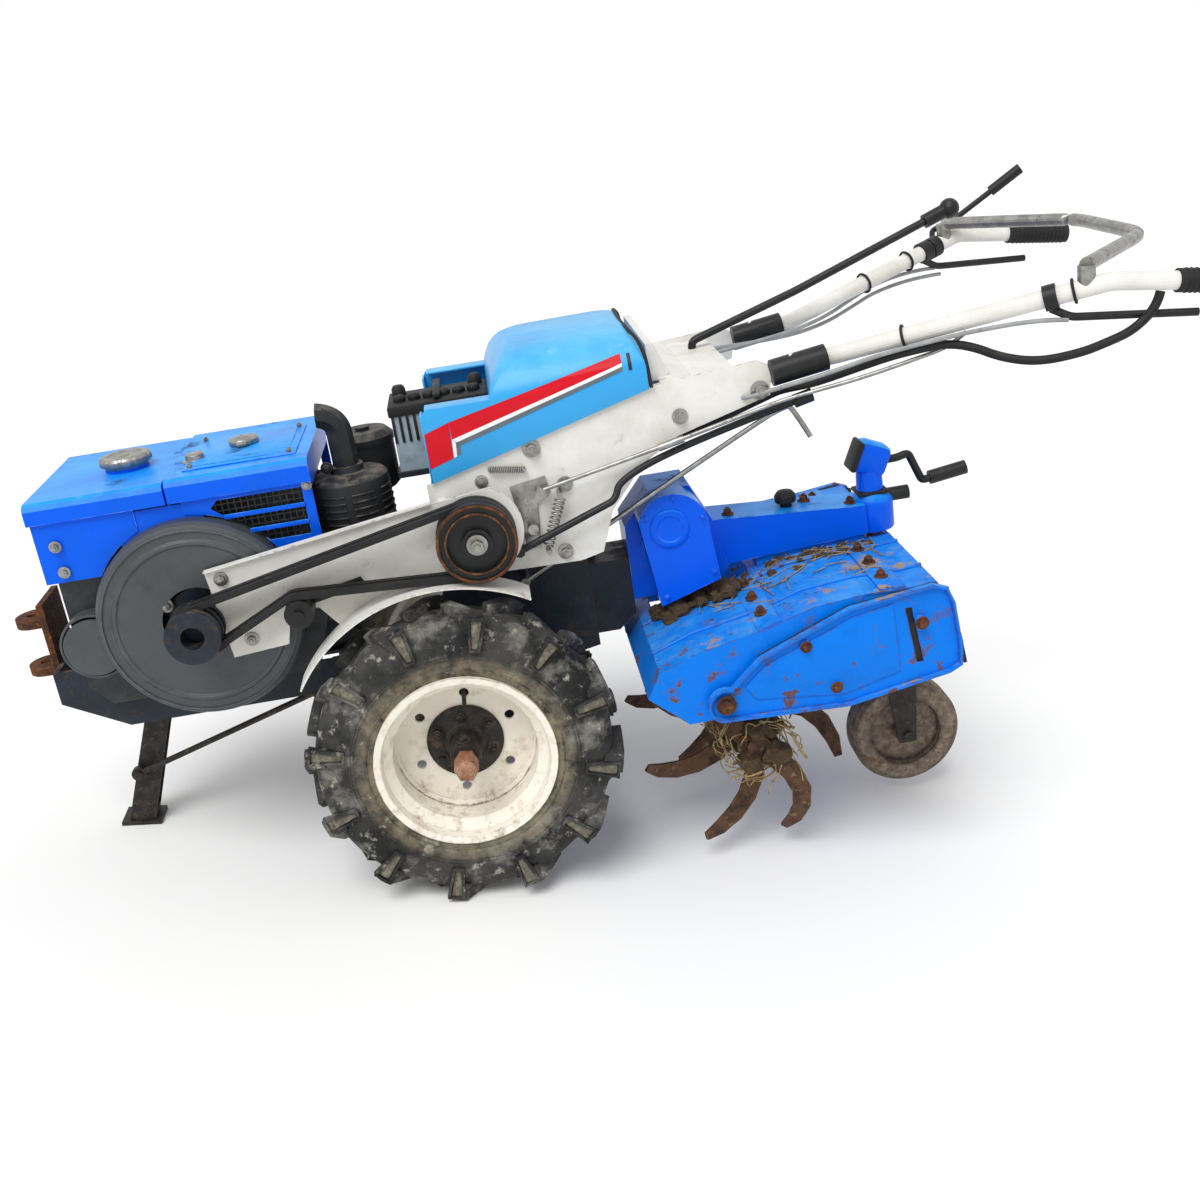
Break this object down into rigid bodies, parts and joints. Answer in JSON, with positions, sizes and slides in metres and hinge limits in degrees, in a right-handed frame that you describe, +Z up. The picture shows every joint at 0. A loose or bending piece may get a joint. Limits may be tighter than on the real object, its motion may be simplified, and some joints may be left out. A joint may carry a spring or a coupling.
{
  "type": "walking tractor",
  "caption": "Two-wheel walking tractor with a belt-driven engine, lugged tyres, long handlebars, a folding front stand and a rear rotary tiller with a depth wheel.",
  "frame": {"origin": "centre of the machine's footprint on the floor", "axes": "+X forward towards the engine, +Y to the operator's left, +Z up"},
  "size_m": [2.1946, 0.8012, 1.2825],
  "materials": {
    "blue_paint": "worn gloss",
    "sky_paint": "worn gloss",
    "white_paint": "worn satin",
    "dark_paint": "worn satin",
    "rusty_iron": "rusty",
    "engine_iron": "painted",
    "cover_grey": "satin",
    "bare_steel": "worn",
    "black_paint": "satin",
    "black_rubber": "matte",
    "tyre_rubber": "dusty",
    "rim_paint": "dirty satin",
    "axle_steel": "oily",
    "rotor_paint": "worn",
    "case_plastic": "matte",
    "grille_wire": "matte"
  },
  "bodies": {
    "chassis": {"fuel_tank": "blue_paint", "radiator_cover": "blue_paint", "engine_shroud": "blue_paint", "tiller_case": "blue_paint", "tiller_beam": "blue_paint", "tiller_hood": "blue_paint", "side_panel_left": "blue_paint", "side_panel_right": "blue_paint", "depth_column": "blue_paint", "bonnet": "sky_paint", "side_plate_left": "white_paint", "side_plate_right": "white_paint", "belt_plate": "white_paint", "fender": "white_paint", "handle_tubes": "white_paint", "bonnet_rear": "white_paint", "engine_frame": "dark_paint", "rear_hitch": "dark_paint", "gearbox": "dark_paint", "front_hitch": "rusty_iron", "engine_block": "engine_iron", "flywheel_cover": "cover_grey", "engine_pulley": "bare_steel", "filler_caps": "bare_steel", "loop_bar": "bare_steel", "clutch_linkage": "bare_steel", "control_rods": "bare_steel", "muffler": "black_paint", "air_cleaner": "black_paint", "input_pulley": "black_paint", "idler_pulley": "black_paint", "main_lever": "black_paint", "shift_lever": "black_paint", "hand_levers": "black_paint", "depth_crank": "black_paint", "grips": "black_rubber", "handle_collars": "black_rubber", "drive_belts": "black_rubber", "battery": "case_plastic", "side_grille": "grille_wire"},
    "wheel_left": {"wheel_left_rim": "rim_paint", "wheel_left_tyre": "tyre_rubber", "wheel_left_axle": "axle_steel"},
    "wheel_right": {"wheel_right_rim": "rim_paint", "wheel_right_tyre": "tyre_rubber", "wheel_right_axle": "axle_steel"},
    "tiller_rotor": {"rotor": "rotor_paint", "tines": "rusty_iron"},
    "depth_post": {"tail_post": "rusty_iron"},
    "depth_wheel": {"tail_wheel": "rusty_iron"},
    "stand": {"stand_leg": "black_paint"},
    "stand_pull": {"stand_rod": "bare_steel"}
  },
  "joints": [
    {"name": "wheel_left_spin", "type": "hinge", "parent": "chassis", "child": "wheel_left", "pos_m": [0.238, 0, 0.29], "axis": [0, 1, 0], "continuous": true},
    {"name": "wheel_right_spin", "type": "hinge", "parent": "chassis", "child": "wheel_right", "pos_m": [0.238, 0, 0.29], "axis": [0, 1, 0], "continuous": true},
    {"name": "rotor_spin", "type": "hinge", "parent": "chassis", "child": "tiller_rotor", "pos_m": [-0.32067, 0, 0.25239], "axis": [0, 1, 0], "continuous": true},
    {"name": "depth_post_slide", "type": "slide", "parent": "chassis", "child": "depth_post", "axis": [0.1392, 0, 0.9903], "range_m": [-0.03, 0.07]},
    {"name": "depth_wheel_spin", "type": "hinge", "parent": "depth_post", "child": "depth_wheel", "pos_m": [-0.68984, 0, 0.15482], "axis": [0, 1, 0], "continuous": true},
    {"name": "stand_fold", "type": "hinge", "parent": "chassis", "child": "stand", "pos_m": [0.84496, 0, 0.2976], "axis": [0, 1, 0], "range_deg": [0, 80]},
    {"name": "stand_pull_swing", "type": "hinge", "parent": "stand", "child": "stand_pull", "pos_m": [0.90292, 0, 0.12081], "axis": [0, 1, 0], "range_deg": [-80, 0]}
  ],
  "couplings": [
    {"joint": "stand_pull_swing", "follows": "stand_fold", "ratio": -1}
  ]
}
